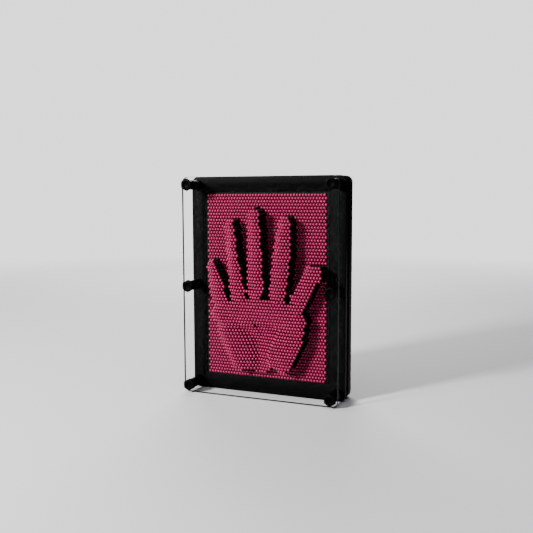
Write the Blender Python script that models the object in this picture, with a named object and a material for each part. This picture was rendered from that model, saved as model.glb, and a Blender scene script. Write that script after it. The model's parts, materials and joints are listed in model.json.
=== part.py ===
"""Pin art impression toy: a bed of sliding pins between two guide plates, behind a clear cover.

The toy stands on its lower edge and faces -Y. X runs across it, Z runs up, and the origin lies
under the middle of its whole depth, on the surface that it stands on. Lengths are in metres.
The pins are modelled as banks: each bank is one block of neighbouring pins that slide together.
"""

import math

import bmesh
import bpy
from mathutils import Matrix

MM = 0.001
COLLECTION = "pin_art_impression_toy"
CURVE_STEPS = 20            # sides of a small round hole or shank
END_STEPS = 8               # steps round each rounded end of a finger's outline

# The pin bed: staggered rows, every second row moved half a pitch to the right.
PIN_COLUMNS = 41
PIN_ROWS = 59
PIN_PITCH_X = 2.82 * MM
PIN_PITCH_Z = 2.86 * MM
PIN_HEAD_HEIGHT = 1.9 * MM
FIELD_MARGIN = 1.5 * MM     # from the outermost pin's axis to the edge of the bed
TAIL_GRIP = 1.5 * MM        # what is left of a fully raised pin inside the rear plate

# The frames and plates.
FRAME_BORDER_X = 16.395 * MM    # frame beside the bed
FRAME_BORDER_Z = 15.56 * MM     # frame above and below the bed
CORNER_RADIUS = 6.0 * MM
EDGE_ROUNDING = 0.5 * MM
FRONT_FRAME_DEPTH = 5.0 * MM
BAND_DEPTH = 6.0 * MM       # the recessed band between the two frames
REAR_FRAME_DEPTH = 9.0 * MM
BAND_RECESS = 1.6 * MM
LIP_THICKNESS = 2.0 * MM    # the lip of a frame that holds its pin plate
LIP_WIDTH = 3.0 * MM
BED_CLEARANCE = 1.4 * MM    # solid edge of a pin plate round the bed

# The clear cover and what holds it.
COVER_GAP = 18.0 * MM       # free space between the frame's face and the cover
COVER_THICKNESS = 2.5 * MM
COVER_INSET = 0.5 * MM      # the cover is this much smaller than the frame on every side
BOLT_INSET_X = 6.7 * MM
BOLT_INSET_Z = 7.5 * MM
BOLT_RADIUS = 2.0 * MM
BOLT_HEAD_FLATS = 9.8 * MM
BOLT_HEAD_HEIGHT = 3.5 * MM
BOLT_RECESS_RADIUS = 3.1 * MM
BOLT_RECESS_DEPTH = 1.2 * MM
POST_RADIUS = 4.45 * MM
NUT_FLATS = 8.0 * MM
NUT_HEIGHT = 3.2 * MM

# Clearances.
GAP = 0.3 * MM              # between pieces that touch on the real toy
HOLE_CLEARANCE = 0.3 * MM   # round a bolt
SLIDE_CLEARANCE = 0.3 * MM  # round a bank's shaft block in its window
SHAFT_INSET = 1.2 * MM      # from the edge of a bank's head slab to its shaft block

# What follows from the sizes above.
FIELD_HALF_X = (PIN_COLUMNS - 0.5) / 2 * PIN_PITCH_X + FIELD_MARGIN
FIELD_HALF_Z = (PIN_ROWS - 1) / 2 * PIN_PITCH_Z + FIELD_MARGIN
FRAME_WIDTH = 2 * (FIELD_HALF_X + FRAME_BORDER_X)
FRAME_HEIGHT = 2 * (FIELD_HALF_Z + FRAME_BORDER_Z)
CENTRE_Z = FRAME_HEIGHT / 2
BODY_DEPTH = FRONT_FRAME_DEPTH + BAND_DEPTH + REAR_FRAME_DEPTH
PLATE_THICKNESS = FRONT_FRAME_DEPTH - GAP
PIN_TRAVEL = COVER_GAP - PIN_HEAD_HEIGHT - GAP
PIN_LENGTH = BODY_DEPTH - PLATE_THICKNESS + PIN_TRAVEL + TAIL_GRIP
FRONT_REACH = COVER_GAP + COVER_THICKNESS + GAP + BOLT_HEAD_HEIGHT
FACE_Y = (FRONT_REACH - PIN_LENGTH) / 2

# The impression of a hand that the bed holds. Each bank of the hand follows a chain of circles,
# (across, up, radius), as shares of the bed's half-width, half-height and half-width. Its lift is
# the share of the pins' travel that it stands out by. A bank gives way to the ones before it.
HAND = {
    "thumb_pin_bank": (0.96, ((0.853, 0.171, 0.142), (0.730, 0.035, 0.138), (0.619, -0.118, 0.147))),
    "index_finger_pin_bank": (
        0.99,
        ((0.398, 0.688, 0.108), (0.357, 0.355, 0.154), (0.280, -0.047, 0.137)),
    ),
    "middle_finger_pin_bank": (
        1.0,
        ((-0.109, 0.780, 0.106), (-0.094, 0.355, 0.133), (-0.080, -0.024, 0.148)),
    ),
    "ring_finger_pin_bank": (
        0.98,
        ((-0.510, 0.683, 0.084), (-0.466, 0.355, 0.099), (-0.375, -0.071, 0.137)),
    ),
    "little_finger_pin_bank": (
        0.94,
        ((-0.824, 0.222, 0.084), (-0.744, 0.012, 0.126), (-0.708, -0.118, 0.147)),
    ),
    "palm_pads_pin_bank": (
        0.93,
        (
            (-0.631, -0.284, 0.213),
            (-0.358, -0.296, 0.205),
            (-0.068, -0.248, 0.213),
            (0.256, -0.260, 0.213),
            (0.512, -0.319, 0.230),
        ),
    ),
    "ball_of_thumb_pin_bank": (
        0.97,
        ((0.520, -0.402, 0.213), (0.461, -0.567, 0.230), (0.341, -0.733, 0.227)),
    ),
    "heel_of_hand_pin_bank": (
        0.86,
        ((-0.563, -0.449, 0.196), (-0.452, -0.638, 0.196), (-0.350, -0.786, 0.188)),
    ),
    "palm_hollow_pin_bank": (
        0.60,
        ((-0.051, -0.449, 0.375), (-0.034, -0.638, 0.341), (-0.034, -0.745, 0.265)),
    ),
}

# The banks round the hand, whose pins rest with their heads on the front plate. Each is an
# outline of (across, up) shares of the bed, less the hand. Their inner edges run inside the hand.
SURROUND = {
    "upper_pin_bank": ((-1, 0.47), (1, 0.47), (1, 1), (-1, 1)),
    "left_pin_bank": ((-1, -0.19), (-0.43, -0.19), (-0.43, 0.47), (-1, 0.47)),
    "ring_to_middle_pin_bank": ((-0.43, -0.19), (-0.10, -0.19), (-0.10, 0.47), (-0.43, 0.47)),
    "middle_to_index_pin_bank": ((-0.10, -0.19), (0.32, -0.19), (0.32, 0.47), (-0.10, 0.47)),
    "right_pin_bank": (
        (0.32, -0.26),
        (0.62, -0.12),
        (0.85, 0.17),
        (1, 0.19),
        (1, 0.47),
        (0.32, 0.47),
    ),
    "lower_right_pin_bank": (
        (0.34, -1),
        (1, -1),
        (1, 0.19),
        (0.85, 0.17),
        (0.62, -0.12),
        (0.50, -0.35),
        (0.34, -0.73),
    ),
    "lower_left_pin_bank": (
        (-1, -1),
        (0.34, -1),
        (0.34, -0.73),
        (-0.04, -0.74),
        (-0.35, -0.78),
        (-0.60, -0.30),
        (-0.68, -0.19),
        (-1, -0.19),
    ),
}

COLOURS = {
    "frame": ((0.022, 0.022, 0.024, 1), 0.42),
    "pin_plate": ((0.014, 0.014, 0.016, 1), 0.5),
    "hardware": ((0.012, 0.012, 0.013, 1), 0.38),
    "cover": ((0.86, 0.9, 0.92, 1), 0.06),
    "pins": ((0.72, 0.06, 0.19, 1), 0.35),
}


def clear_scene():
    """Removes whatever the scene holds."""
    for thing in list(bpy.data.objects):
        bpy.data.objects.remove(thing, do_unlink=True)


def material(name, colour, roughness):
    """A plastic of one colour."""
    finish = bpy.data.materials.new(name)
    finish.use_nodes = True
    shader = finish.node_tree.nodes["Principled BSDF"]
    shader.inputs["Base Color"].default_value = colour
    shader.inputs["Roughness"].default_value = roughness
    shader.inputs["Metallic"].default_value = 0.0
    return finish


# Outlines: lists of (x, z) points, anticlockwise as seen from the front.


def circle(centre, radius, steps=CURVE_STEPS, turn=0.0):
    """A regular polygon round a centre; steps of 6 gives a hexagon with a corner at its top."""
    return [
        (
            centre[0] + radius * math.sin(turn - 2 * math.pi * k / steps),
            centre[1] + radius * math.cos(turn - 2 * math.pi * k / steps),
        )
        for k in range(steps)
    ]


def rounded_box(half_x, half_z, radius, corner_steps=6):
    """A rectangle about the bed's centre, with rounded corners."""
    points = []
    for quarter, (sx, sz) in enumerate(((1, -1), (1, 1), (-1, 1), (-1, -1))):
        start = (quarter - 1) * math.pi / 2
        for k in range(corner_steps + 1):
            angle = start + k / corner_steps * math.pi / 2
            points.append(
                (
                    sx * (half_x - radius) + radius * math.cos(angle),
                    CENTRE_Z + sz * (half_z - radius) + radius * math.sin(angle),
                )
            )
    return points


def limb_outline(stations, grow):
    """The outline round a chain of circles, each grown by the same amount."""
    path = [(x * FIELD_HALF_X, CENTRE_Z + z * FIELD_HALF_Z) for x, z, _ in stations]
    radii = [r * FIELD_HALF_X + grow for _, _, r in stations]
    last = len(path) - 1
    headings = []
    for k in range(len(path)):
        before, after = path[max(k - 1, 0)], path[min(k + 1, last)]
        headings.append(math.atan2(after[1] - before[1], after[0] - before[0]))

    def at(k, angle):
        return (path[k][0] + radii[k] * math.cos(angle), path[k][1] + radii[k] * math.sin(angle))

    def end(k, middle):
        turns = [middle - math.pi / 2 + math.pi * n / END_STEPS for n in range(END_STEPS + 1)]
        return [at(k, angle) for angle in turns]

    right = [at(k, headings[k] - math.pi / 2) for k in range(1, last)]
    left = [at(k, headings[k] + math.pi / 2) for k in range(last - 1, 0, -1)]
    return end(0, headings[0] + math.pi) + right + end(last, headings[last]) + left


def moved_outline(corners, grow):
    """An outline of straight edges with every edge moved outwards by the same amount."""
    points = [(x * FIELD_HALF_X, CENTRE_Z + z * FIELD_HALF_Z) for x, z in corners]
    moved = []
    for k, here in enumerate(points):
        before, after = points[k - 1], points[(k + 1) % len(points)]
        first = math.atan2(here[1] - before[1], here[0] - before[0])
        second = math.atan2(after[1] - here[1], after[0] - here[0])
        half_turn = (second - first + math.pi) % (2 * math.pi) - math.pi
        outward = first + half_turn / 2 - math.pi / 2
        reach = grow / math.cos(half_turn / 2)
        moved.append((here[0] + reach * math.cos(outward), here[1] + reach * math.sin(outward)))
    return moved


# Solids: depths run from the frame's front face, 0, backwards.


def plate(name, outlines, front, back):
    """A flat solid from an outer outline and the outlines of its holes, between two depths."""
    curve = bpy.data.curves.new(name, "CURVE")
    curve.dimensions = "2D"
    curve.fill_mode = "BOTH"
    curve.extrude = (back - front) / 2
    for outline in outlines:
        spline = curve.splines.new("POLY")
        spline.points.add(len(outline) - 1)
        for point, (x, z) in zip(spline.points, outline):
            point.co = (x, z, 0, 1)
        spline.use_cyclic_u = True
    guide = bpy.data.objects.new(name + "_outline", curve)
    bpy.context.collection.objects.link(guide)
    evaluated = guide.evaluated_get(bpy.context.evaluated_depsgraph_get())
    mesh = bpy.data.meshes.new_from_object(evaluated)
    bpy.data.objects.remove(guide)
    mesh.name = name
    shape = bmesh.new()
    shape.from_mesh(mesh)
    bmesh.ops.remove_doubles(shape, verts=shape.verts, dist=1e-6)
    stand_up = Matrix.Rotation(math.pi / 2, 4, "X")
    place = Matrix.Translation((0, FACE_Y + (front + back) / 2, 0))
    bmesh.ops.transform(shape, matrix=place @ stand_up, verts=shape.verts)
    bmesh.ops.recalc_face_normals(shape, faces=shape.faces)
    shape.to_mesh(mesh)
    shape.free()
    solid = bpy.data.objects.new(name, mesh)
    bpy.context.collection.objects.link(solid)
    return solid


def combine(solid, tool, operation):
    """Joins a tool to a solid, or cuts it away, and removes the tool."""
    change = solid.modifiers.new(operation.lower(), "BOOLEAN")
    change.operation = operation
    change.solver = "EXACT"
    change.object = tool
    evaluated = solid.evaluated_get(bpy.context.evaluated_depsgraph_get())
    mesh = bpy.data.meshes.new_from_object(evaluated)
    solid.modifiers.clear()
    solid.data = mesh
    mesh.name = solid.name
    bpy.data.objects.remove(tool)


def cut_step(solid, kept, front, back):
    """Cuts away what lies outside the kept outline between two depths."""
    around = rounded_box(FRAME_WIDTH, FRAME_HEIGHT, CORNER_RADIUS, 1)
    combine(solid, plate("step", [around, kept], front, back), "DIFFERENCE")


def round_edges(solid, width):
    """Takes the sharp edge off the long outer edges of a plate."""
    shape = bmesh.new()
    shape.from_mesh(solid.data)
    sharp = [edge for edge in shape.edges if edge.calc_face_angle(0) > math.radians(60)]
    bmesh.ops.bevel(
        shape, geom=sharp, offset=width, segments=2, profile=0.5, affect="EDGES"
    )
    shape.to_mesh(solid.data)
    shape.free()


def finish(solid, look, origin=None):
    """Gives a solid its material, its shading and its own origin."""
    solid.data.materials.clear()
    solid.data.materials.append(look)
    solid.data.shade_smooth()
    solid.data.set_sharp_from_angle(angle=math.radians(35))
    if origin is not None:
        solid.data.transform(Matrix.Translation([-value for value in origin]))
        solid.location = origin
    return solid


def bolt_places():
    """The six bolts' names and centres: left and right, top, middle and bottom."""
    across = FRAME_WIDTH / 2 - BOLT_INSET_X
    heights = {"top": FRAME_HEIGHT - BOLT_INSET_Z, "middle": CENTRE_Z, "bottom": BOLT_INSET_Z}
    for side, x in (("left", -across), ("right", across)):
        for level, z in heights.items():
            yield f"{side}_{level}", (x, z)


def bolt_holes(radius):
    return [circle(centre, radius) for _, centre in bolt_places()]


def window_outline(extra):
    """The frames' window round the bed, grown by the extra width."""
    width = FIELD_HALF_X + BED_CLEARANCE + extra
    height = FIELD_HALF_Z + BED_CLEARANCE + extra
    return rounded_box(width, height, 1.5 * MM + extra / 2, 2)


def frame_ring(name, front, back, lip_front, lip_back, look):
    """A black frame with bolt holes and a window whose lip lies between two depths."""
    outer = rounded_box(FRAME_WIDTH / 2, FRAME_HEIGHT / 2, CORNER_RADIUS)
    ring = plate(name, [outer], front, back)
    round_edges(ring, EDGE_ROUNDING)
    through = (front - MM, back + MM)
    combine(ring, plate("window", [window_outline(GAP)], *through), "DIFFERENCE")
    for hole in bolt_holes(BOLT_RADIUS + HOLE_CLEARANCE):
        combine(ring, plate("hole", [hole], *through), "DIFFERENCE")
    rebate = (lip_back, back + MM) if lip_front == front else (front - MM, lip_front)
    combine(ring, plate("rebate", [window_outline(LIP_WIDTH + GAP)], *rebate), "DIFFERENCE")
    return finish(ring, look)


def spacer_frame(look):
    """The recessed band between the frames, with a tongue that presses the rear plate home."""
    front = FRONT_FRAME_DEPTH + GAP
    shoulder = FRONT_FRAME_DEPTH + BAND_DEPTH - GAP
    back = BODY_DEPTH - PLATE_THICKNESS - GAP
    outer = rounded_box(
        FRAME_WIDTH / 2 - BAND_RECESS, FRAME_HEIGHT / 2 - BAND_RECESS, CORNER_RADIUS - BAND_RECESS
    )
    holes = bolt_holes(BOLT_RADIUS + HOLE_CLEARANCE)
    band = plate("spacer_frame", [outer, window_outline(GAP)] + holes, front, back)
    cut_step(band, window_outline(LIP_WIDTH), shoulder, back + MM)
    return finish(band, look)


# Banks of pins.


def bank_tools(index, grow, front, back):
    """The banks of the hand that come before this one, as solids grown by the same amount."""
    for name, (_, stations) in list(HAND.items())[:index]:
        yield plate(name + "_tool", [limb_outline(stations, grow)], front, back)


def largest_body(solid):
    """Keeps the largest closed body of a solid: slivers beyond a web of the hand fall away."""
    shape = bmesh.new()
    shape.from_mesh(solid.data)
    left, bodies = set(shape.verts), []
    while left:
        body, edge_of_search = set(), [left.pop()]
        while edge_of_search:
            vert = edge_of_search.pop()
            body.add(vert)
            near = {edge.other_vert(vert) for edge in vert.link_edges} & left
            left -= near
            edge_of_search.extend(near)
        bodies.append(body)
    main = max(bodies, key=len)
    bmesh.ops.delete(shape, geom=[v for v in shape.verts if v not in main], context="VERTS")
    shape.to_mesh(solid.data)
    shape.free()


def bank_block(name, inset, front, back):
    """A bank's own area of the bed, inset all round, as a block between two depths."""
    if name in HAND:
        index = list(HAND).index(name)
        outline = limb_outline(HAND[name][1], -inset)
    else:
        index = len(HAND)
        outline = moved_outline(SURROUND[name], -inset)
    block = plate(name, [outline], front, back)
    for tool in bank_tools(index, inset, front - MM, back + MM):
        combine(block, tool, "DIFFERENCE")
    largest_body(block)
    return block


def bank_lift(name):
    return HAND[name][0] * PIN_TRAVEL if name in HAND else 0.0


def pin_bank(name, look):
    """A bank: the slab of its pins' heads, and the block of their shafts that slides in the plates."""
    lift = bank_lift(name)
    face = -lift - GAP
    slab = bank_block(name, GAP / 2, face - PIN_HEAD_HEIGHT + GAP, face)
    shafts = bank_block(name, SHAFT_INSET, face - PIN_HEAD_HEIGHT / 2, PIN_LENGTH - lift)
    combine(slab, shafts, "UNION")
    return finish(slab, look, origin=(0, FACE_Y - lift, CENTRE_Z))


def pin_plate(name, front, back, flange_front, flange_back, look):
    """A guide plate that fills a frame's window, with a flange behind the lip and the banks' windows."""
    solid = plate(name, [window_outline(LIP_WIDTH)], front, back)
    boss = (front - MM, flange_front) if flange_back == back else (flange_back, back + MM)
    cut_step(solid, window_outline(0), *boss)
    for bank in list(HAND) + list(SURROUND):
        window = bank_block(bank, SHAFT_INSET - SLIDE_CLEARANCE, front - MM, back + MM)
        combine(solid, window, "DIFFERENCE")
    return finish(solid, look)


# The cover and its hardware.


def cover_plate(look):
    """The clear plate in front of the pins."""
    outer = rounded_box(
        FRAME_WIDTH / 2 - COVER_INSET, FRAME_HEIGHT / 2 - COVER_INSET, CORNER_RADIUS - COVER_INSET
    )
    holes = bolt_holes(BOLT_RADIUS + HOLE_CLEARANCE)
    return finish(
        plate("cover_plate", [outer] + holes, -COVER_GAP - COVER_THICKNESS, -COVER_GAP), look
    )


def hexagon(centre, flats):
    return circle(centre, flats / math.sqrt(3), 6)


def cover_bolt(name, centre, look):
    """A hexagon-headed bolt with a round recess in its head, reaching through to its nut."""
    seat = -COVER_GAP - COVER_THICKNESS - GAP
    front = seat - BOLT_HEAD_HEIGHT
    bolt = plate(name, [hexagon(centre, BOLT_HEAD_FLATS)], front, seat)
    round_edges(bolt, EDGE_ROUNDING)
    recess = plate(
        "recess", [circle(centre, BOLT_RECESS_RADIUS)], front - MM, front + BOLT_RECESS_DEPTH
    )
    combine(bolt, recess, "DIFFERENCE")
    tip = BODY_DEPTH + GAP + NUT_HEIGHT + GAP
    shank = plate("shank", [circle(centre, BOLT_RADIUS)], seat - MM, tip)
    combine(bolt, shank, "UNION")
    return finish(bolt, look, origin=(centre[0], FACE_Y + seat, centre[1]))


def cover_post(name, centre, look):
    """The round post that holds the cover off the frame."""
    rings = [circle(centre, POST_RADIUS, 24), circle(centre, BOLT_RADIUS + HOLE_CLEARANCE)]
    post = plate(name, rings, -COVER_GAP + GAP, -GAP)
    return finish(post, look, origin=(centre[0], FACE_Y, centre[1]))


def rear_nut(name, centre, look):
    """The hexagon nut on the bolt's tail."""
    rings = [hexagon(centre, NUT_FLATS), circle(centre, BOLT_RADIUS + HOLE_CLEARANCE)]
    nut = plate(name, rings, BODY_DEPTH + GAP, BODY_DEPTH + GAP + NUT_HEIGHT)
    return finish(nut, look, origin=(centre[0], FACE_Y + BODY_DEPTH, centre[1]))


def build():
    clear_scene()
    home = bpy.data.collections.new(COLLECTION)
    bpy.context.scene.collection.children.link(home)
    layer = bpy.context.view_layer.layer_collection.children[COLLECTION]
    bpy.context.view_layer.active_layer_collection = layer

    looks = {name: material(name, *values) for name, values in COLOURS.items()}
    rear_front = FRONT_FRAME_DEPTH + BAND_DEPTH
    rear_lip = BODY_DEPTH - LIP_THICKNESS
    frame_ring("front_frame", 0, FRONT_FRAME_DEPTH, 0, LIP_THICKNESS, looks["frame"])
    spacer_frame(looks["frame"])
    frame_ring("rear_frame", rear_front, BODY_DEPTH, rear_lip, BODY_DEPTH, looks["frame"])

    behind_lip = LIP_THICKNESS + GAP
    pin_plate(
        "front_pin_plate", 0, PLATE_THICKNESS, behind_lip, PLATE_THICKNESS, looks["pin_plate"]
    )
    rear_face = BODY_DEPTH - PLATE_THICKNESS
    pin_plate(
        "rear_pin_plate", rear_face, BODY_DEPTH, rear_face, rear_lip - GAP, looks["pin_plate"]
    )
    for bank in list(HAND) + list(SURROUND):
        pin_bank(bank, looks["pins"])

    cover_plate(looks["cover"])
    for place, centre in bolt_places():
        cover_bolt(f"cover_bolt_{place}", centre, looks["hardware"])
        cover_post(f"cover_post_{place}", centre, looks["hardware"])
        rear_nut(f"rear_nut_{place}", centre, looks["hardware"])


build()
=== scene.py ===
"""The looks of the pin art impression toy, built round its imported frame.

The toy stands on z = 0 and faces -Y; X runs across it and Z up. Each bank of the frame is shown
as its single pins, each guide plate with all its drilled holes, and the frames, the clear cover
and its hardware as moulded and turned pieces. Depths are measured from the face of the front
frame, backwards.
"""

import json
import logging
import math
from dataclasses import dataclass, field
from enum import Enum
from typing import Any, Mapping, Optional, Sequence, Union

import bmesh
import bpy
import numpy as np
from mathutils import Matrix, Vector
from mathutils.bvhtree import BVHTree


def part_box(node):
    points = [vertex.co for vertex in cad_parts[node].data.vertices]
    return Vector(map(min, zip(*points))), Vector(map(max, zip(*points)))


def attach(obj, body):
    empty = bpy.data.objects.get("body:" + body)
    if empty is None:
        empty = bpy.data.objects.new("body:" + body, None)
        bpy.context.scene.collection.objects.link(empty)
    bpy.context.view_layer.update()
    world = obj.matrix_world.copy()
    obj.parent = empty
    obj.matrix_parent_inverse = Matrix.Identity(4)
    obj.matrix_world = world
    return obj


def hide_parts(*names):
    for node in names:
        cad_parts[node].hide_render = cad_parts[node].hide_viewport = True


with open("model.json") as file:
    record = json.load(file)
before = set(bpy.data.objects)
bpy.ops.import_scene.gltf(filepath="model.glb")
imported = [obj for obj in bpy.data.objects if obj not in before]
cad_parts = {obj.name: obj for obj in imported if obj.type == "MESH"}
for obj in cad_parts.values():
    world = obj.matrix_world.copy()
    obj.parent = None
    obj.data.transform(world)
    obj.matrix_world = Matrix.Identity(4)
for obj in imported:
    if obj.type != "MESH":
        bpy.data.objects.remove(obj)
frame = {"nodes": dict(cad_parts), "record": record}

MM = 0.001
SHARP_ANGLE = math.radians(38)
SMALLEST_RADIUS = 0.2 * MM
LOG = logging.getLogger("pin_art_toy")

Point = tuple[float, float]
Colour = tuple[float, float, float, float]
Loop = list[bmesh.types.BMVert]


# Shading.


class Signal:
    """The output of a node, on which arithmetic adds Math nodes."""

    def __init__(self, graph: "NodeGraph", socket: bpy.types.NodeSocket) -> None:
        """Keeps the node tree and the output."""
        self.graph = graph
        self.socket = socket

    def _math(self, operation: str, first: "Value", second: "Value") -> "Signal":
        """One Math node on two values."""
        return self.graph.node("ShaderNodeMath", {"operation": operation}, {0: first, 1: second})

    def __add__(self, other: "Value") -> "Signal":
        """self + other."""
        return self._math("ADD", self, other)

    def __sub__(self, other: "Value") -> "Signal":
        """self - other."""
        return self._math("SUBTRACT", self, other)

    def __rsub__(self, other: "Value") -> "Signal":
        """other - self."""
        return self._math("SUBTRACT", other, self)

    def __mul__(self, other: "Value") -> "Signal":
        """self * other."""
        return self._math("MULTIPLY", self, other)

    __radd__ = __add__
    __rmul__ = __mul__

    def ramp(self, low: float, high: float) -> "Signal":
        """A smooth step of this value, from 0 at low to 1 at high."""
        sockets = {"Value": self, "From Min": low, "From Max": high}
        return self.graph.node(
            "ShaderNodeMapRange", {"interpolation_type": "SMOOTHSTEP"}, sockets
        )


Value = Union[float, Sequence[float], Signal]


class NodeGraph:
    """The node tree of one new material."""

    def __init__(self, name: str) -> None:
        """Makes an empty material.

        Args:
            name: the material's name.
        """
        self.material = bpy.data.materials.new(name)
        self.material.use_nodes = True
        self.tree = self.material.node_tree
        self.tree.nodes.clear()

    def node(
        self,
        kind: str,
        settings: Optional[Mapping[str, Any]] = None,
        sockets: Optional[Mapping[Union[str, int], Value]] = None,
        output: Union[str, int] = 0,
    ) -> Signal:
        """Adds a node.

        Args:
            kind: the node's type.
            settings: its properties, set before its sockets.
            sockets: a number, colour or link for each input that isn't left as it is.
            output: the output that is handed on.

        Returns:
            The chosen output.
        """
        made = self.tree.nodes.new(kind)
        for name, value in (settings or {}).items():
            setattr(made, name, value)
        for name, value in (sockets or {}).items():
            if isinstance(value, Signal):
                self.tree.links.new(value.socket, made.inputs[name])
            else:
                made.inputs[name].default_value = value
        return Signal(self, made.outputs[output])

    def place(self) -> Signal:
        """The point on the piece, in metres, in the toy's frame."""
        return self.node("ShaderNodeTexCoord", output="Object")

    def stretched(self, scale: Sequence[float]) -> Signal:
        """The point with each coordinate scaled."""
        settings = {"operation": "MULTIPLY"}
        return self.node("ShaderNodeVectorMath", settings, {0: self.place(), 1: scale})

    def noise(self, size: float, detail: float = 2.0, at: Optional[Signal] = None) -> Signal:
        """Noise from 0 to 1 with clouds of a size, read on the piece or at a given point."""
        sockets = {"Vector": at or self.place(), "Scale": 1 / size, "Detail": detail}
        return self.node("ShaderNodeTexNoise", None, sockets, "Fac")

    def mix(self, share: Value, first: Value, second: Value) -> Signal:
        """A colour with this share of the second and the rest of the first."""
        settings = {"data_type": "RGBA"}
        return self.node("ShaderNodeMix", settings, {0: share, 6: first, 7: second}, 2)

    def bump(self, height: Signal, depth: float, strength: float) -> Signal:
        """A normal bent by a height from 0 to 1, where 1 stands for a depth in metres."""
        sockets = {"Height": height, "Distance": depth, "Strength": strength}
        return self.node("ShaderNodeBump", None, sockets)

    def edge_wear_and_highlight(self) -> Signal:
        """1 on rounded outer edges and 0 on flat faces, whose pointiness is 0.5; lightening by it
        is partly wear and partly a painted highlight that the edges catch.
        """
        return self.node("ShaderNodeNewGeometry", output="Pointiness").ramp(0.505, 0.56)

    def plastic(self, sockets: Mapping[str, Value]) -> Signal:
        """A Principled shader with these sockets set."""
        return self.node("ShaderNodeBsdfPrincipled", None, sockets)

    def surface(self, shader: Signal) -> bpy.types.Material:
        """Ends the tree.

        Args:
            shader: the shader that the surface shows.

        Returns:
            The material.
        """
        end = self.tree.nodes.new("ShaderNodeOutputMaterial")
        self.tree.links.new(shader.socket, end.inputs["Surface"])
        return self.material


@dataclass(frozen=True)
class MouldedPlastic:
    """Black moulded plastic with a fine grain, cloudy gloss, a little dust, and edges lightened
    partly for wear and partly as a painted highlight.
    """

    name: str
    colour: Colour
    marks_and_highlight_colour: Colour
    roughness: float
    gloss: float = 0.02
    grain: float = 0.35 * MM
    grain_depth: float = 0.003 * MM
    clouds: float = 18 * MM
    wear_and_highlight_patch: float = 2.5 * MM
    scratch: float = 1.2 * MM
    scratch_run: float = 0.06
    dust: float = 0.7 * MM

    def make(self) -> bpy.types.Material:
        """Makes the material.

        Returns:
            The material.
        """
        graph = NodeGraph(self.name)
        clouds = graph.noise(self.clouds, 3.0)
        # The lighter edges are partly wear and partly a painted highlight, the light that satin
        # edges catch.
        wear_and_highlight = graph.edge_wear_and_highlight() * graph.noise(self.wear_and_highlight_patch).ramp(0.35, 0.7)
        upright = graph.stretched((1.0, 1.0, self.scratch_run))
        scratches = graph.noise(self.scratch, 1.0, upright).ramp(0.66, 0.74)
        dust = graph.noise(self.dust, 0.0).ramp(0.74, 0.80)
        # The marks carry the painted edge highlight along with wear, scratches, dust and clouds.
        marks = wear_and_highlight * 0.55 + scratches * 0.08 + dust * 0.10 + clouds * 0.05
        colour = graph.mix(marks, self.colour, self.marks_and_highlight_colour)
        grain = graph.noise(self.grain, 1.0)
        return graph.surface(
            graph.plastic(
                {
                    "Base Color": colour,
                    "Roughness": self.roughness + (clouds - 0.5) * 0.16 + scratches * 0.08,
                    "Specular IOR Level": self.gloss,
                    "Normal": graph.bump(grain, self.grain_depth, 0.6),
                }
            )
        )


@dataclass(frozen=True)
class PinPlastic:
    """The plastic of a pin, whose tone differs a little from pin to pin."""

    name: str
    deep: Colour
    light: Colour
    roughness: float
    gloss: float
    sheen: Colour = (1.0, 1.0, 1.0, 1)
    streaks: float = 0.0
    streak: float = 1.1 * MM
    streak_run: float = 0.12
    skin: float = 0.5 * MM
    skin_depth: float = 0.002 * MM

    def make(self) -> bpy.types.Material:
        """Makes the material.

        Returns:
            The material.
        """
        graph = NodeGraph(self.name)
        tone = graph.node("ShaderNodeAttribute", {"attribute_name": PinBed.TONE}, output="Fac")
        along = graph.noise(self.streak, 2.0, graph.stretched((1.0, self.streak_run, 1.0)))
        share = tone * (1.0 - self.streaks) + along.ramp(0.35, 0.65) * self.streaks
        skin = graph.noise(self.skin, 1.0)
        return graph.surface(
            graph.plastic(
                {
                    "Base Color": graph.mix(share, self.deep, self.light),
                    "Roughness": self.roughness + (skin - 0.5) * 0.06,
                    "Specular IOR Level": self.gloss,
                    "Specular Tint": self.sheen,
                    "Normal": graph.bump(skin, self.skin_depth, 0.4),
                }
            )
        )


@dataclass(frozen=True)
class ClearAcrylic:
    """Clear sheet that mirrors at a slant, with faint wipe marks and specks.

    Its body is the share of haze in it; a dark haze is painted shade, as on the cover's edge. The
    coating takes that much off its mirror.
    """

    name: str
    tint: Colour
    haze: Colour
    body: float
    specks: float
    coating: float = 0.042
    gloss: float = 0.3
    roughness: float = 0.05
    index: float = 1.49
    wipe: float = 3.0 * MM
    wipe_run: float = 0.25
    speck: float = 0.8 * MM

    def make(self) -> bpy.types.Material:
        """Makes the material.

        Returns:
            The material.
        """
        graph = NodeGraph(self.name)
        across = graph.stretched((self.wipe_run, 1.0, 1.0))
        wipes = graph.noise(self.wipe, 3.0, across).ramp(0.5, 0.85)
        specks = graph.noise(self.speck, 0.0).ramp(0.76, 0.82)
        clear = graph.node("ShaderNodeBsdfTransparent", None, {"Color": self.tint})
        hazy = graph.plastic(
            {
                "Base Color": graph.mix(wipes, self.haze, self.tint),
                "Roughness": 0.35 + wipes * 0.1,
                "Specular IOR Level": self.gloss,
            }
        )
        film = self.body + specks * self.specks + wipes * self.specks * 0.2
        sheet = graph.node("ShaderNodeMixShader", None, {0: film, 1: clear, 2: hazy})
        sockets = {"Color": (1.0, 1.0, 1.0, 1.0), "Roughness": self.roughness}
        mirror = graph.node("ShaderNodeBsdfGlossy", None, sockets)
        slant = graph.node("ShaderNodeFresnel", None, {"IOR": self.index})
        outside = 1.0 - graph.node("ShaderNodeNewGeometry", output="Backfacing")
        sockets = {0: (slant - self.coating) * outside, 1: sheet, 2: mirror}
        return graph.surface(graph.node("ShaderNodeMixShader", None, sockets))


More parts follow.
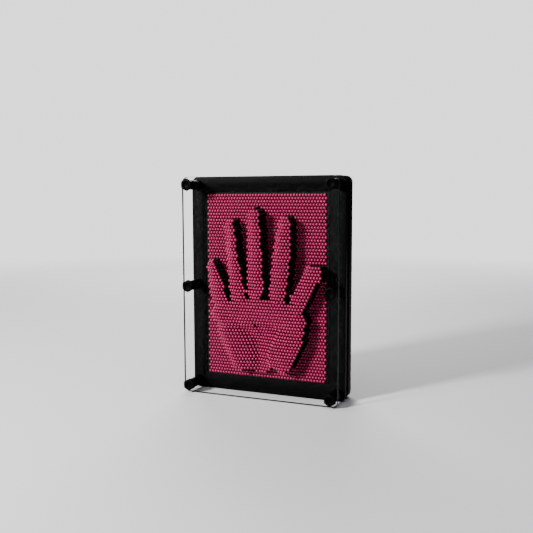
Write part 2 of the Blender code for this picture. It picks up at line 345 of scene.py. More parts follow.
@dataclass(frozen=True)
class StudioFloor:
    """A pale matt floor that fades into the surroundings away from the toy."""

    name: str
    colour: Colour
    near: float = 0.55
    far: float = 1.6
    tooth: float = 4 * MM
    shade: float = 0.97

    def make(self) -> bpy.types.Material:
        """Makes the material.

        Returns:
            The material.
        """
        graph = NodeGraph(self.name)
        length = {"operation": "LENGTH"}
        reach = graph.node("ShaderNodeVectorMath", length, {0: graph.place()}, "Value")
        tooth = graph.noise(self.tooth, 3.0)
        darker = tuple(value * self.shade for value in self.colour[:3]) + (1.0,)
        matt = graph.plastic(
            {
                "Base Color": graph.mix(tooth, darker, self.colour),
                "Roughness": 0.85 + (tooth - 0.5) * 0.1,
                "Specular IOR Level": 0.2,
            }
        )
        gone = graph.node("ShaderNodeBsdfTransparent")
        fade = reach.ramp(self.near, self.far)
        return graph.surface(graph.node("ShaderNodeMixShader", None, {0: fade, 1: matt, 2: gone}))


# Shapes.


def middle(low: Vector, high: Vector) -> Point:
    """The centre of a box, seen from the front."""
    return (low.x + high.x) / 2, (low.z + high.z) / 2


@dataclass(frozen=True)
class RoundedBox:
    """A rectangle with rounded corners, upright and facing -Y."""

    centre: Point
    half_x: float
    half_z: float
    radius: float

    STEPS = 14

    @staticmethod
    def round(node: str, radius: float) -> "RoundedBox":
        """The outline of a frame node.

        Args:
            node: the node, whose box it takes.
            radius: the radius of its corners.

        Returns:
            The outline.
        """
        low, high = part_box(node)
        return RoundedBox(middle(low, high), (high.x - low.x) / 2, (high.z - low.z) / 2, radius)

    def grown(self, amount: float) -> "RoundedBox":
        """The outline moved outwards."""
        radius = max(self.radius + amount, SMALLEST_RADIUS)
        return RoundedBox(self.centre, self.half_x + amount, self.half_z + amount, radius)

    def points(self) -> list[Point]:
        """The points along its four corners.

        Returns:
            The points, in order from the lower right corner.
        """
        made = []
        for quarter, (side, up) in enumerate(((1, -1), (1, 1), (-1, 1), (-1, -1))):
            for k in range(self.STEPS + 1):
                angle = (quarter - 1 + k / self.STEPS) * math.pi / 2
                x = side * (self.half_x - self.radius) + self.radius * math.cos(angle)
                z = up * (self.half_z - self.radius) + self.radius * math.sin(angle)
                made.append((self.centre[0] + x, self.centre[1] + z))
        return made


def circle(centre: Point, radius: float, steps: int = 40) -> list[Point]:
    """The points of a circle."""
    turns = [2 * math.pi * k / steps for k in range(steps)]
    return [(centre[0] + radius * math.cos(t), centre[1] + radius * math.sin(t)) for t in turns]


class Shell:
    """A mesh in the making, put together from loops of points at given depths."""

    def __init__(self, face: float) -> None:
        """Starts an empty shell whose depths are measured from the y of a face."""
        self.face = face
        self.form = bmesh.new()

    def loop(self, points: Sequence[Point], depth: Union[float, Sequence[float]]) -> Loop:
        """Adds a closed loop of points at one depth, or each at its own."""
        depths = depth if isinstance(depth, Sequence) else [depth] * len(points)
        return [self.form.verts.new((x, self.face + y, z)) for (x, z), y in zip(points, depths)]

    def bridge(self, *loops: Loop) -> None:
        """Joins each loop to the next by a band of faces.

        Args:
            loops: two or more loops with the same number of points.
        """
        for first, second in zip(loops, loops[1:]):
            for k in range(len(first)):
                n = (k + 1) % len(first)
                self.form.faces.new((first[k], first[n], second[n], second[k]))

    def fill(self, *loops: Loop) -> None:
        """Fills a flat area.

        Args:
            loops: the loop round it, then the loops of the holes in it.
        """
        known, edges = self.form.edges, []
        for loop in loops:
            for k, here in enumerate(loop):
                pair = (here, loop[(k + 1) % len(loop)])
                edges.append(known.get(pair) or known.new(pair))
        bmesh.ops.triangle_fill(self.form, use_beauty=True, edges=edges)

    def close(self, name: str) -> bpy.types.Object:
        """Turns the shell into an object with smooth faces and sharp corners.

        Args:
            name: the object's name.

        Returns:
            The new object.
        """
        bmesh.ops.recalc_face_normals(self.form, faces=self.form.faces)
        mesh = bpy.data.meshes.new(name)
        self.form.to_mesh(mesh)
        self.form.free()
        return put(name, mesh)


def put(name: str, mesh: bpy.types.Mesh) -> bpy.types.Object:
    """Puts a mesh into the scene, smooth but for its sharp corners.

    Args:
        name: the object's name.
        mesh: the mesh.

    Returns:
        The new object.
    """
    mesh.shade_smooth()
    mesh.set_sharp_from_angle(angle=SHARP_ANGLE)
    made = bpy.data.objects.new(name, mesh)
    bpy.context.scene.collection.objects.link(made)
    return made


def carve(piece: bpy.types.Object, tool: bpy.types.Object) -> None:
    """Cuts a tool out of a piece and removes the tool.

    Args:
        piece: the piece, which gets a new mesh.
        tool: the closed shape that is taken away.
    """
    cut = piece.modifiers.new("cut", "BOOLEAN")
    cut.operation, cut.solver, cut.object = "DIFFERENCE", "EXACT", tool
    mesh = bpy.data.meshes.new_from_object(
        piece.evaluated_get(bpy.context.evaluated_depsgraph_get())
    )
    piece.modifiers.clear()
    piece.data = mesh
    bpy.data.objects.remove(tool)
    mesh.set_sharp_from_angle(angle=SHARP_ANGLE)


def rounded_side(radius: float, steps: int, front: float, back: float) -> list[Point]:
    """The side of a plate or rod with both its edges rounded.

    Args:
        radius: the radius of the rounding.
        steps: how many bands round off an edge.
        front: the depth of its front.
        back: the depth of its back.

    Returns:
        Its profile from front to back, as how far inwards each point is and its depth.
    """
    turns = [math.pi / 2 * k / steps for k in range(steps + 1)]
    bend = [(radius * (1 - math.sin(t)), radius * (1 - math.cos(t))) for t in turns]
    return [(i, front + d) for i, d in bend] + [(i, back - d) for i, d in bend[::-1]]


def bore(radius: float, soft: float, front: float, back: float) -> list[Point]:
    """A bore's (radius, depth) profile from front to back, wider by a little at its ends."""
    wide = radius + soft
    return [(wide, front), (radius, front + soft), (radius, back - soft), (wide, back)]


# The toy's sub-assemblies.


@dataclass(frozen=True)
class Layout:
    """Where the frame's main planes and centres are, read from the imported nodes."""

    face: float
    centre: Point
    bolts: Mapping[str, Point]

    @staticmethod
    def read() -> "Layout":
        """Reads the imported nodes.

        Returns:
            The layout.
        """
        low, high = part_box("front_frame")
        bolts = {
            name.removeprefix("cover_post_"): middle(*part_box(name))
            for name in frame["nodes"]
            if name.startswith("cover_post_")
        }
        return Layout(low.y, middle(low, high), bolts)

    def depths(self, node: str) -> Point:
        """The front and back of a node as depths."""
        low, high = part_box(node)
        return low.y - self.face, high.y - self.face


class Slot(Enum):
    """The record's material slots."""

    FRAME = "frame"
    PLATE = "pin_plate"
    HARDWARE = "hardware"
    COVER = "cover"
    PINS = "pins"


def register(
    piece: bpy.types.Object,
    materials: Sequence[bpy.types.Material],
    body: str,
    node: str,
) -> bpy.types.Object:
    """Dresses a piece, seats it on its body and lets it stand for a node.

    Args:
        piece: the new piece.
        materials: its materials, in the order of its faces' numbers.
        body: the frame body that it moves with.
        node: the frame node that it stands for.

    Returns:
        The piece.
    """
    for material in materials:
        piece.data.materials.append(material)
    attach(piece, body)
    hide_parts(node)
    LOG.info("%s: %d faces, on %s", piece.name, len(piece.data.polygons), body)
    return piece


@dataclass
class FrameStack:
    """The front frame, the recessed band and the rear frame."""

    layout: Layout
    corner: float = 6.0 * MM
    edge: float = 0.5 * MM
    band_recess: float = 1.6 * MM
    lip_width: float = 3.0 * MM
    lip_depth: float = 2.0 * MM
    gap: float = 0.3 * MM
    lip_softness: float = 0.25 * MM
    window_radius: float = 1.65 * MM
    hole_radius: float = 2.3 * MM
    rod_reach: float = 30 * MM
    finish: MouldedPlastic = MouldedPlastic(
        "satin_black_frame", (0.0007, 0.0007, 0.0008, 1), (0.008, 0.008, 0.0085, 1), 0.44
    )

    def window(self) -> RoundedBox:
        """The frames' window round the pin bed.

        Returns:
            Its outline.
        """
        plate = RoundedBox.round("front_pin_plate", self.window_radius)
        return RoundedBox(
            plate.centre,
            plate.half_x - self.lip_width + self.gap,
            plate.half_z - self.lip_width + self.gap,
            self.window_radius,
        )

    def bolt_tools(self) -> bpy.types.Object:
        """Six round rods, longer than the stack is deep, for the bolt holes.

        Returns:
            The rods, as one object.
        """
        rods = Shell(self.layout.face)
        for centre in self.layout.bolts.values():
            points = circle(centre, self.hole_radius, 32)
            front, back = rods.loop(points, -self.rod_reach), rods.loop(points, self.rod_reach)
            rods.bridge(front, back)
            rods.fill(front)
            rods.fill(back)
        return rods.close("rods")

    def ring(self, node: str, profile: Sequence[tuple[RoundedBox, float]]) -> bpy.types.Object:
        """A frame from the loops of its cross-section.

        Args:
            node: the frame node that it stands for.
            profile: each loop's outline and depth, once round the cross-section.

        Returns:
            The frame.
        """
        shell = Shell(self.layout.face)
        loops = [shell.loop(outline.points(), depth) for outline, depth in profile]
        shell.bridge(*loops, loops[0])
        piece = shell.close(node + "_moulding")
        carve(piece, self.bolt_tools())
        return piece

    def outside(self, node: str) -> list[tuple[RoundedBox, float]]:
        """The loops over a frame's outer side, with both edges rounded."""
        outline = RoundedBox.round(node, self.corner)
        side = rounded_side(self.edge, 4, *self.layout.depths(node))
        return [(outline.grown(-inwards), depth) for inwards, depth in side]

    def inside(self, front: float, back: float, lip: float) -> list[tuple[RoundedBox, float]]:
        """The loops over a frame's window, with its lip and its rebate.

        Args:
            front: the depth of the face that the lip is flush with.
            back: the depth of the other face.
            lip: the depth of the lip's hidden side.

        Returns:
            The loops, from the rebated face to the lip's face.
        """
        window = self.window()
        rebate = window.grown(self.lip_width)
        soft = self.lip_softness if back > front else -self.lip_softness
        return [
            (rebate, back),
            (rebate, lip),
            (window, lip),
            (window, front + soft),
            (window.grown(abs(soft) * 0.3), front + soft * 0.3),
            (window.grown(abs(soft)), front),
        ]

    def build(self) -> None:
        """Builds and dresses the three frames."""
        black = self.finish.make()
        for node, way in (("front_frame", 1), ("rear_frame", -1)):
            face, rebate = self.layout.depths(node)[::way]
            inside = self.inside(face, rebate, face + way * self.lip_depth)[::way]
            piece = self.ring(node, self.outside(node) + inside)
            register(piece, [black], "frame", node)

        front, back = self.layout.depths("spacer_frame")
        shoulder = self.layout.depths("rear_frame")[0] - self.gap
        band = RoundedBox.round("spacer_frame", self.corner - self.band_recess)
        window = self.window()
        tongue = window.grown(self.lip_width - self.gap)
        piece = self.ring(
            "spacer_frame",
            [(band, front), (band, shoulder), (tongue, shoulder), (tongue, back), (window, back)]
            + [(window, front)],
        )
        register(piece, [black], "frame", "spacer_frame")


@dataclass
class PinBed:
    """The lattice of single pins, shown bank by bank."""

    layout: Layout
    columns: int = 41
    rows: int = 59
    pitch_x: float = 2.82 * MM
    pitch_z: float = 2.86 * MM
    head_radius: float = 1.37 * MM
    head_height: float = 1.9 * MM
    head_clearance: float = 0.12 * MM
    shaft_radius: float = 0.75 * MM
    tail_radius: float = 0.4 * MM
    tail_taper: float = 0.35 * MM
    length: float = 32.6 * MM
    segments: int = 12
    crown_width: float = 5.0 * MM
    unevenness: float = 0.06 * MM
    seed: int = 7
    head_finish: PinPlastic = PinPlastic(
        name="pink_pin_head",
        deep=(0.20, 0.0003, 0.034, 1),
        light=(0.25, 0.0006, 0.046, 1),
        roughness=0.40,
        gloss=1.0,
        sheen=(1.0, 0.40, 0.58, 1),
    )
    shaft_finish: PinPlastic = PinPlastic(
        name="dark_pin_shaft",
        deep=(0.004, 0.0035, 0.003, 1),
        light=(0.016, 0.014, 0.010, 1),
        roughness=0.45,
        gloss=0.2,
        streaks=0.6,
    )

    TONE = "pin_tone"
    HOLLOW = "palm_hollow_pin_bank"
    # For each bank beside the palm's hollow, how far the hollow goes on sinking away from it and
    # how far from the hollow it slopes down.
    SIDES = {
        "heel_of_hand_pin_bank": (11 * MM, 16 * MM),
        "palm_pads_pin_bank": (16 * MM, 14 * MM),
        "ball_of_thumb_pin_bank": (20 * MM, 16 * MM),
    }
    # How far below its bank's highest pins a pin may lie.
    DEEPEST = {HOLLOW: 4.6 * MM, "heel_of_hand_pin_bank": 3.45 * MM}
    USUAL_DROP = 2.9 * MM
    CROWN_SHARE = 0.3
    SLOPE_SHARE = 0.97
    BOWL_RIM = 0.08
    WRIST_SLOPE = 12 * MM
    LEFT_FLANK = (1.0, 0.55, 0.2)
    # The rings of a head down to its neck, as shares of its radius and its height.
    DOME = ((0.36, 0.05), (0.66, 0.18), (0.87, 0.36), (0.98, 0.52), (1.0, 0.64), (0.86, 0.74))

    def places(self) -> np.ndarray:
        """Lays out the lattice, every second row half a pitch to the right.

        Returns:
            Every pin's axis as (x, z), row by row from the top.
        """
        row, column = np.mgrid[0 : self.rows, 0 : self.columns]
        x = (column - (self.columns - 0.5) / 2 + (row % 2) * 0.5) * self.pitch_x
        z = ((self.rows - 1) / 2 - row) * self.pitch_z
        return np.stack([x.ravel() + self.layout.centre[0], z.ravel() + self.layout.centre[1]], 1)

    def banks(self) -> dict[str, str]:
        """Each bank's node and the body that it moves with."""
        groups = frame["record"]["behaviour"]["bodies"].items()
        return {n: body for body, nodes in groups for n in nodes if n.endswith("_pin_bank")}

    def owners(self, places: np.ndarray, banks: Sequence[str]) -> np.ndarray:
        """The bank that each pin belongs to.

        Args:
            places: the pins' axes.
            banks: the banks' nodes.

        Returns:
            For each pin the number of the bank whose block it runs through or lies nearest to.
        """
        distance = np.empty((len(banks), len(places)))
        for number, bank in enumerate(banks):
            mesh = frame["nodes"][bank].data
            tree = BVHTree.FromPolygons(
                [vert.co for vert in mesh.vertices], [tuple(f.vertices) for f in mesh.polygons]
            )
            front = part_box(bank)[0].y
            for pin, (x, z) in enumerate(places):
                if tree.ray_cast(Vector((x, front - MM, z)), Vector((0, 1, 0)))[0]:
                    distance[number, pin] = 0.0
                else:
                    near = tree.find_nearest(Vector((x, front + self.head_height / 2, z)))
                    distance[number, pin] = near[3]
        return distance.argmin(axis=0)

    def lift(self, bank: str) -> float:
        """How far the highest pins of a bank stand out."""
        return self.layout.face - self.head_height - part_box(bank)[0].y

    @staticmethod
    def reach(places: np.ndarray, others: np.ndarray) -> np.ndarray:
        """The distance from each place to the nearest of some others."""
        gaps = places[:, None, :] - others[None, :, :]
        return np.sqrt((gaps**2).sum(axis=2)).min(axis=1)

    def crown(self, distance: np.ndarray, width: float) -> np.ndarray:
        """How far a rounded edge has fallen away, from 1 at the edge to 0 a width inside it."""
        inside = np.clip((distance - self.pitch_x) / width, 0, 1)
        return 1 - np.sqrt(1 - (1 - inside) ** 2)

    def left_flank(self, raised: np.ndarray) -> np.ndarray:
        """How far the pins along the left of each finger and of the palm lie back.

        Args:
            raised: for each pin whether it is part of the hand.

        Returns:
            For each pin a share of its bank's drop, by its place in the row.
        """
        fall = np.zeros(len(raised))
        for row in range(self.rows):
            step = 0
            for pin in range(row * self.columns, (row + 1) * self.columns):
                step = step + 1 if raised[pin] else 0
                if 0 < step <= len(self.LEFT_FLANK):
                    fall[pin] = self.LEFT_FLANK[step - 1]
        return fall

    def heights(self, places: np.ndarray, owner: np.ndarray, banks: Sequence[str]) -> np.ndarray:
        """How far each pin stands out of the front plate.

        Args:
            places: the pins' axes.
            owner: the number of each pin's bank.
            banks: the banks' nodes.

        Returns:
            The pins' heights: 0 round the hand, rounded off at its outline and hollow in its palm.
        """
        lifts = np.array([self.lift(bank) for bank in banks])
        raised = lifts[owner] > MM
        hollow = owner == banks.index(self.HOLLOW)
        drop = self.crown(self.reach(places, places[~raised]), self.crown_width)
        width = np.array([self.SIDES.get(bank, (0, self.pitch_x))[1] for bank in banks])[owner]
        near = np.clip((self.reach(places, places[hollow]) - self.pitch_x) / width, 0, 1)
        slope = np.where(width > self.pitch_x, 1 - np.sin(near * math.pi / 2), 0)
        wrist = np.clip((places[:, 1] - places[raised][:, 1].min()) / self.WRIST_SLOPE, 0, 1)
        slope = self.SLOPE_SHARE * np.maximum(slope, 1 - np.sin(wrist * math.pi / 2))
        edge = np.maximum(drop * self.CROWN_SHARE, self.left_flank(raised))
        sunk = np.ones(len(places))
        for side, (run, _) in self.SIDES.items():
            near = self.reach(places, places[owner == banks.index(side)])
            inside = np.clip((near - self.pitch_x) / run, 0, 1)
            sunk = np.minimum(sunk, np.sin(inside * math.pi / 2))
        bowl = self.BOWL_RIM + (1 - self.BOWL_RIM) * sunk
        drop = np.where(hollow, bowl, np.maximum(edge, slope))
        most = np.array([self.DEEPEST.get(bank, self.USUAL_DROP) for bank in banks])[owner]
        uneven = np.random.default_rng(self.seed).random(len(places)) * self.unevenness
        fall = np.minimum(drop * most + uneven, most)
        return np.where(raised, lifts[owner] - fall, 0.0)

    def profile(self) -> list[Point]:
        """One pin's turned shape.

        Returns:
            Its rings as (radius, depth), from its head's crown to its tail's end.
        """
        front, seat, radius = -self.head_height, -self.head_clearance, self.head_radius
        tall = seat - front
        rings = [(radius * share, front + tall * down) for share, down in self.DOME]
        rings += [(self.shaft_radius, seat), (self.shaft_radius, self.length - self.tail_taper)]
        return rings + [(self.tail_radius, self.length)]

    def pin(self) -> tuple[np.ndarray, list[tuple[int, ...]], list[int]]:
        """One pin at the origin.

        Returns:
            Its points, its faces and each face's material number.
        """
        rings = self.profile()
        turns = np.arange(self.segments) * 2 * math.pi / self.segments
        around = np.stack([np.cos(turns), np.zeros(self.segments), np.sin(turns)], 1)
        points = [np.array([[0.0, -self.head_height, 0.0]])]
        points += [around * radius + np.array([0.0, depth, 0.0]) for radius, depth in rings]
        count = self.segments
        faces: list[tuple[int, ...]] = [(0, 1 + k, 1 + (k + 1) % count) for k in range(count)]
        for ring in range(len(rings) - 1):
            first = 1 + ring * count
            for k in range(count):
                n = (k + 1) % count
                faces.append((first + k, first + count + k, first + count + n, first + n))
        last = 1 + (len(rings) - 1) * count
        faces.append(tuple(last + k for k in range(count)))
        heads = count * (1 + len(self.DOME))
        return np.concatenate(points), faces, [0] * heads + [1] * (len(faces) - heads)

    def bank_piece(
        self, name: str, places: np.ndarray, heights: np.ndarray, tones: np.ndarray
    ) -> bpy.types.Object:
        """All pins of one bank as one mesh.

        Args:
            name: the piece's name.
            places: the pins' axes.
            heights: how far each stands out.
            tones: each pin's tone.

        Returns:
            The piece.
        """
        points, faces, numbers = self.pin()
        shift = np.stack([places[:, 0], self.layout.face - heights, places[:, 1]], 1)
        verts = (points[None, :, :] + shift[:, None, :]).reshape(-1, 3)
        starts = range(0, len(places) * len(points), len(points))
        copies = [tuple(v + start for v in face) for start in starts for face in faces]
        mesh = bpy.data.meshes.new(name)
        mesh.from_pydata(verts.tolist(), [], copies)
        mesh.polygons.foreach_set("material_index", numbers * len(places))
        tone = mesh.attributes.new(self.TONE, "FLOAT", "POINT")
        tone.data.foreach_set("value", np.repeat(tones, len(points)).astype(np.float32))
        return put(name, mesh)

    def build(self) -> None:
        """Builds and dresses every bank's pins."""
        banks = self.banks()
        names = list(banks)
        places = self.places()
        owner = self.owners(places, names)
        heights = self.heights(places, owner, names)
        tones = np.random.default_rng(self.seed + 1).random(len(places))
        looks = [self.head_finish.make(), self.shaft_finish.make()]
        for number, bank in enumerate(names):
            mine = owner == number
            name = bank.removesuffix("_pin_bank") + "_pins_single"
            piece = self.bank_piece(name, places[mine], heights[mine], tones[mine])
            register(piece, looks, banks[bank], bank)


@dataclass
class GuidePlate:
    """A guide plate drilled for every pin, with a flange that its frame's lip holds."""

    layout: Layout
    bed: PinBed
    node: str
    flange_first: bool
    hole_radius: float = 0.92 * MM
    flange_width: float = 3.0 * MM
    flange_thickness: float = 2.4 * MM
    corner: float = 1.5 * MM
    finish: MouldedPlastic = MouldedPlastic(
        "guide_plate_black", (0.003, 0.003, 0.0033, 1), (0.015, 0.015, 0.016, 1), 0.5
    )

    def sheet(self, shell: Shell, depth: float, rim: Loop) -> list[Loop]:
        """Adds the drilled sheet at one depth.

        Args:
            shell: the shell that it belongs to.
            depth: its depth.
            rim: the outer loop that it reaches to.

        Returns:
            The holes' loops.
        """
        half_x, half_z = self.bed.pitch_x / 2, self.bed.pitch_z / 2
        known: dict[tuple[int, int], bmesh.types.BMVert] = {}

        def corner(column: int, row: int) -> bmesh.types.BMVert:
            """The shared point between cells.

            Args:
                column: its half-column, counted from the bed's left.
                row: its row line, counted from the top.

            Returns:
                The point.
            """
            if (column, row) not in known:
                x = self.layout.centre[0] + (column - self.bed.columns - 0.5) * half_x
                z = self.layout.centre[1] + (self.bed.rows - 2 * row) * half_z
                known[column, row] = shell.loop([(x, z)], depth)[0]
            return known[column, row]

        holes = []
        for number, (x, z) in enumerate(self.bed.places()):
            row, column = divmod(number, self.bed.columns)
            left = 2 * column + row % 2
            turns = [math.pi * (2 * k + 1) / 8 for k in range(8)]
            radius = self.hole_radius
            ring = [(x + radius * math.cos(t), z + radius * math.sin(t)) for t in turns]
            hole = shell.loop(ring, depth)
            holes.append(hole)
            upper = [corner(left + k, row) for k in (2, 1, 0)]
            lower = [corner(left + k, row + 1) for k in (0, 1, 2)]
            for half in range(2):
                start, right, top, end = (lower[2], *upper) if half == 0 else (upper[2], *lower)
                before, first, second, third, fourth = (hole[4 * half + k - 1] for k in range(5))
                for face in (
                    (start, right, first, before),
                    (right, second, first),
                    (right, top, second),
                    (top, third, second),
                    (top, end, third),
                    (end, fourth, third),
                ):
                    shell.form.faces.new(face)
        for row in range(self.bed.rows):
            side = 0 if row % 2 else 2 * self.bed.columns
            cell = ((side, row), (side + 1, row), (side + 1, row + 1), (side, row + 1))
            shell.form.faces.new([corner(*place) for place in cell])
        far = 2 * self.bed.columns + 1
        around = [corner(c, 0) for c in range(far)]
        around += [corner(far, r) for r in range(self.bed.rows)]
        around += [corner(c, self.bed.rows) for c in range(far, 0, -1)]
        around += [corner(0, r) for r in range(self.bed.rows, 0, -1)]
        shell.fill(rim, around)
        return holes

    def build(self) -> None:
        """Builds and dresses the plate."""
        front, back = self.layout.depths(self.node)
        flange = RoundedBox.round(self.node, self.corner + self.flange_width / 2)
        boss = flange.grown(-self.flange_width)
        shell = Shell(self.layout.face)
        outer, inner = (flange, boss) if self.flange_first else (boss, flange)
        step = front + self.flange_thickness if self.flange_first else back - self.flange_thickness
        rims = [
            shell.loop(outline.points(), depth)
            for outline, depth in ((outer, front), (outer, step), (inner, step), (inner, back))
        ]
        shell.bridge(*rims)
        near = self.sheet(shell, front, rims[0])
        far = self.sheet(shell, back, rims[-1])
        for first, second in zip(near, far):
            shell.bridge(first, second)
        piece = shell.close(self.node + "_drilled")
        register(piece, [self.finish.make()], "frame", self.node)


@dataclass
class CoverPlate:
    """The clear plate in front of the pins."""

    layout: Layout
    corner: float = 5.5 * MM
    edge: float = 0.35 * MM
    hole_radius: float = 2.3 * MM
    hole_softness: float = 0.2 * MM
    face_finish: ClearAcrylic = ClearAcrylic(
        name="clear_cover",
        tint=(0.98, 0.985, 0.985, 1),
        haze=(0.80, 0.82, 0.83, 1),
        body=0.0,
        specks=0.004,
    )
    # The edge's dark tint and haze are painted shade, the dark line that a clear sheet's edge
    # shows, over a faint green of the sheet itself.
    painted_shade_edge_finish: ClearAcrylic = ClearAcrylic(
        name="clear_cover_edge_painted_shade",
        tint=(0.05, 0.065, 0.06, 1),
        haze=(0.010, 0.016, 0.014, 1),
        body=0.8,
        specks=0.1,
        coating=0.4,
        gloss=0.05,
    )

    def build(self) -> None:
        """Builds and dresses the cover."""
        front, back = self.layout.depths("cover_plate")
        outline = RoundedBox.round("cover_plate", self.corner)
        shell = Shell(self.layout.face)
        side = rounded_side(self.edge, 3, front, back)
        loops = [shell.loop(outline.grown(-i).points(), depth) for i, depth in side]
        shell.bridge(*loops)
        through = bore(self.hole_radius, self.hole_softness, front, back)
        holes = []
        for centre in self.layout.bolts.values():
            rings = [shell.loop(circle(centre, radius), depth) for radius, depth in through]
            shell.bridge(*rings)
            holes.append(rings)
        shell.fill(loops[0], *(rings[0] for rings in holes))
        shell.fill(loops[-1], *(rings[-1] for rings in holes))
        piece = shell.close("cover_plate_clear")
        # The edge faces take the dark finish of painted shade; the flat faces stay clear.
        for face in piece.data.polygons:
            flat = abs(face.normal.y) > 0.99
            face.material_index = 0 if flat else 1
        looks = [self.face_finish.make(), self.painted_shade_edge_finish.make()]
        register(piece, looks, "frame", "cover_plate")


@dataclass
class CoverHardware:
    """The bolts, posts and nuts that hold the cover."""

    layout: Layout
    head_flats: float = 9.8 * MM
    head_top: float = 4.72 * MM
    head_seat: float = 0.3 * MM
    recess_radius: float = 3.1 * MM
    recess_depth: float = 1.2 * MM
    recess_dish: float = 0.12 * MM
    shank_radius: float = 2.0 * MM
    tip: Point = (0.4 * MM, 0.5 * MM)
    bore_radius: float = 2.3 * MM
    softness: float = 0.2 * MM
    post_edge: float = 0.35 * MM
    nut_flats: float = 8.0 * MM
    nut_top: float = 3.85 * MM
    countersink: float = 0.35 * MM
    chamfer_slope: float = math.tan(math.radians(30))
    back_chamfer: float = 0.6
    steps: int = 48
    finish: MouldedPlastic = MouldedPlastic(
        "black_hardware", (0.0004, 0.0004, 0.0005, 1), (0.004, 0.004, 0.0045, 1), 0.42, 0.012
    )

    def hex_loops(
        self, shell: Shell, centre: Point, flats: float, top: float, ends: tuple[float, float]
    ) -> list[Loop]:
        """The loops over a hexagon with a corner at its top and with turned chamfers.

        Args:
            shell: the shell that they belong to.
            centre: the hexagon's centre.
            flats: its width across flats.
            top: the radius of the flat face left by a chamfer.
            ends: the depths of its two ends.

        Returns:
            The loops, from the first end to the second.
        """
        points, fall = [], []
        for k in range(self.steps):
            turn = 2 * math.pi * k / self.steps
            off = (turn + math.pi / 6) % (math.pi / 3) - math.pi / 6
            radius = flats / 2 / math.cos(off)
            x, z = radius * math.cos(turn), radius * math.sin(turn)
            points.append((centre[0] + x, centre[1] + z))
            fall.append((radius - top) * self.chamfer_slope)
        front, back = ends
        return [
            shell.loop(circle(centre, top, self.steps), front),
            shell.loop(points, [front + f for f in fall]),
            shell.loop(points, [back - f * self.back_chamfer for f in fall]),
            shell.loop(circle(centre, top, self.steps), back),
        ]

    def rings(self, shell: Shell, centre: Point, profile: Sequence[Point]) -> list[Loop]:
        """The loops of a turned shape from its (radius, depth) profile."""
        return [shell.loop(circle(centre, radius, self.steps), depth) for radius, depth in profile]

    def bolt(self, shell: Shell, node: str, centre: Point) -> None:
        """A bolt: hexagon head, round recess, plain shank.

        Args:
            shell: the shell that it belongs to.
            node: the node that it stands for.
            centre: its axis.
        """
        front, end = self.layout.depths(node)
        seat = self.layout.depths("cover_plate")[0] - self.head_seat
        floor, wall, radius = front + self.recess_depth, self.recess_radius, self.shank_radius
        cup = (
            (0.5 * MM, floor + self.recess_dish),
            (wall - 0.5 * MM, floor),
            (wall, floor - 0.25 * MM),
            (wall, front + self.softness),
            (wall + self.softness, front),
        )
        rod = ((radius, seat), (radius, end - self.tip[1]), (radius - self.tip[0], end))
        recess = self.rings(shell, centre, cup)
        head = self.hex_loops(shell, centre, self.head_flats, self.head_top, (front, seat))
        shank = self.rings(shell, centre, rod)
        shell.bridge(*recess, *head, *shank)
        shell.fill(recess[0])
        shell.fill(shank[-1])

    def post(self, shell: Shell, node: str, centre: Point) -> None:
        """A post: a round sleeve with softened ends.

        Args:
            shell: the shell that it belongs to.
            node: the node that it stands for.
            centre: its axis.
        """
        ends = self.layout.depths(node)
        low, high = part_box(node)
        outer = (high.x - low.x) / 2
        profile = [(outer - i, depth) for i, depth in rounded_side(self.post_edge, 3, *ends)]
        profile += bore(self.bore_radius, self.softness, *ends)[::-1]
        loops = self.rings(shell, centre, profile)
        shell.bridge(*loops, loops[0])

    def nut(self, shell: Shell, node: str, centre: Point) -> None:
        """A nut: a hexagon with turned chamfers and a countersunk bore.

        Args:
            shell: the shell that it belongs to.
            node: the node that it stands for.
            centre: its axis.
        """
        ends = self.layout.depths(node)
        loops = self.hex_loops(shell, centre, self.nut_flats, self.nut_top, ends)
        through = bore(self.bore_radius, self.countersink, *ends)[::-1]
        loops += self.rings(shell, centre, through)
        shell.bridge(*loops, loops[0])

    def build(self) -> None:
        """Builds and dresses all bolts, posts and nuts."""
        black = self.finish.make()
        kinds = {"cover_bolt": self.bolt, "cover_post": self.post, "rear_nut": self.nut}
        for place, centre in self.layout.bolts.items():
            for kind, make in kinds.items():
                shell, node = Shell(self.layout.face), f"{kind}_{place}"
                make(shell, node, centre)
                piece = shell.close(node + "_turned")
                register(piece, [black], "frame", node)


@dataclass
class SoftBox:
    """A soft square studio light. Its azimuth is measured from the toy's front."""

    name: str
    azimuth: float
    elevation: float
    distance: float
    size: float
    power: float

    def hang(self, target: Vector) -> None:
        """Hangs the light.

        Args:
            target: the point that it faces.
        """
        turn, rise = math.radians(self.azimuth), math.radians(self.elevation)
        flat = math.cos(rise)
        back = Vector((math.sin(turn) * flat, -math.cos(turn) * flat, math.sin(rise)))
        data = bpy.data.lights.new(self.name, "AREA")
        data.shape, data.size, data.energy = "SQUARE", self.size, self.power
        light = bpy.data.objects.new(self.name, data)
        light.location = target + back * self.distance
        light.rotation_euler = (-back).to_track_quat("-Z", "Y").to_euler()
        bpy.context.scene.collection.objects.link(light)


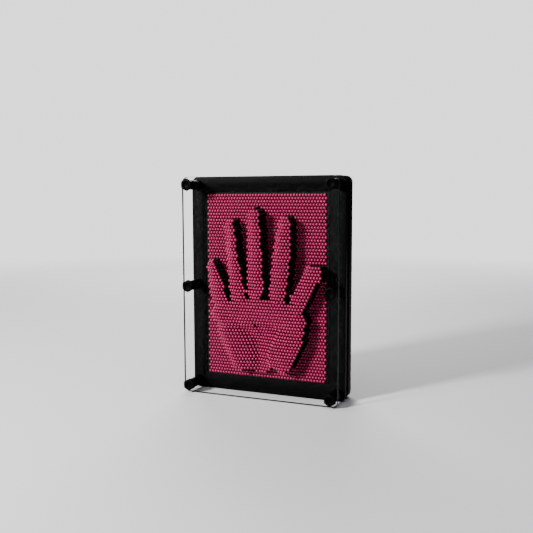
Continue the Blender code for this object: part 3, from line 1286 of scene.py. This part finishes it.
@dataclass
class Studio:
    """The floor, the lights and the camera."""

    layout: Layout
    surround: Colour = (0.93, 0.93, 0.94, 1)
    ambience: float = 0.035
    backdrop: float = 1.95
    floor_finish: StudioFloor = StudioFloor("studio_floor", (0.60, 0.60, 0.61, 1))
    floor_half: float = 2.0
    floor_cells: int = 8
    lights: list[SoftBox] = field(
        default_factory=lambda: [
            SoftBox("key_light", -33.0, 22.0, 1.3, 0.18, 45.0),
            SoftBox("top_light", 10.0, 78.0, 1.2, 0.9, 8.0),
            SoftBox("back_light", 205.0, 32.0, 1.3, 0.7, 22.0),
        ]
    )
    focal_length: float = 47.30
    azimuth: float = 22.394
    tilt: float = 5.791
    roll: float = -0.145
    distance: float = 635.76 * MM
    aim: Point = (1.56 * MM, 17.45 * MM)
    shift: Point = (-0.00206, 0.00206)

    def floor(self) -> None:
        """Lays the floor."""
        shell, cells = Shell(0.0), self.floor_cells
        lines = [self.floor_half * k / cells for k in range(-cells, cells + 1)]
        rows = [[shell.form.verts.new((x, y, 0.0)) for x in lines] for y in lines]
        for low, high in zip(rows, rows[1:]):
            for k in range(2 * cells):
                shell.form.faces.new((low[k], low[k + 1], high[k + 1], high[k]))
        ground = shell.close("studio_floor")
        ground.data.materials.append(self.floor_finish.make())

    def surroundings(self) -> None:
        """Sets the even light all round."""
        world = bpy.data.worlds.new("studio")
        world.use_nodes = True
        tree = world.node_tree
        glow, backdrop = tree.nodes["Background"], tree.nodes.new("ShaderNodeBackground")
        seen = tree.nodes.new("ShaderNodeLightPath")
        either = tree.nodes.new("ShaderNodeMixShader")
        tree.links.new(seen.outputs["Is Camera Ray"], either.inputs[0])
        for place, light, strength in ((1, glow, self.ambience), (2, backdrop, self.backdrop)):
            light.inputs["Color"].default_value = self.surround
            light.inputs["Strength"].default_value = strength
            tree.links.new(light.outputs[0], either.inputs[place])
        tree.links.new(either.outputs[0], tree.nodes["World Output"].inputs["Surface"])
        bpy.context.scene.world = world

    def camera(self) -> None:
        """Sets up the camera, a little to the toy's right and looking slightly down."""
        turn, down, roll = (math.radians(a) for a in (self.azimuth, self.tilt, self.roll))
        flat = math.cos(down)
        ahead = Vector((-math.sin(turn) * flat, math.cos(turn) * flat, -math.sin(down)))
        right = Vector((math.cos(turn), math.sin(turn), 0.0))
        above = right.cross(ahead)
        across = right * math.cos(roll) + above * math.sin(roll)
        upwards = above * math.cos(roll) - right * math.sin(roll)
        data = bpy.data.cameras.new("camera")
        data.sensor_width, data.lens = 36.0, self.focal_length
        data.shift_x, data.shift_y = self.shift
        data.clip_start, data.clip_end = 0.01, 20.0
        view = bpy.data.objects.new("camera", data)
        x, z = self.layout.centre
        target = Vector((x + self.aim[0], self.layout.face, z + self.aim[1]))
        turned = Matrix((across, upwards, -ahead)).transposed().to_4x4()
        view.matrix_world = Matrix.Translation(target - ahead * self.distance) @ turned
        bpy.context.scene.collection.objects.link(view)
        bpy.context.scene.camera = view

    def build(self) -> None:
        """Builds the studio."""
        self.surroundings()
        self.floor()
        target = Vector((self.layout.centre[0], self.layout.face, self.layout.centre[1]))
        for light in self.lights:
            light.hang(target)
        self.camera()


def main() -> None:
    """Builds every piece in order."""
    logging.basicConfig(level=logging.INFO, format="%(name)s: %(message)s")
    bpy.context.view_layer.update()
    layout = Layout.read()
    bed = PinBed(layout)
    FrameStack(layout).build()
    GuidePlate(layout, bed, "front_pin_plate", flange_first=False).build()
    GuidePlate(layout, bed, "rear_pin_plate", flange_first=True).build()
    bed.build()
    CoverPlate(layout).build()
    CoverHardware(layout).build()
    Studio(layout).build()


if __name__ == "__main__":
    main()
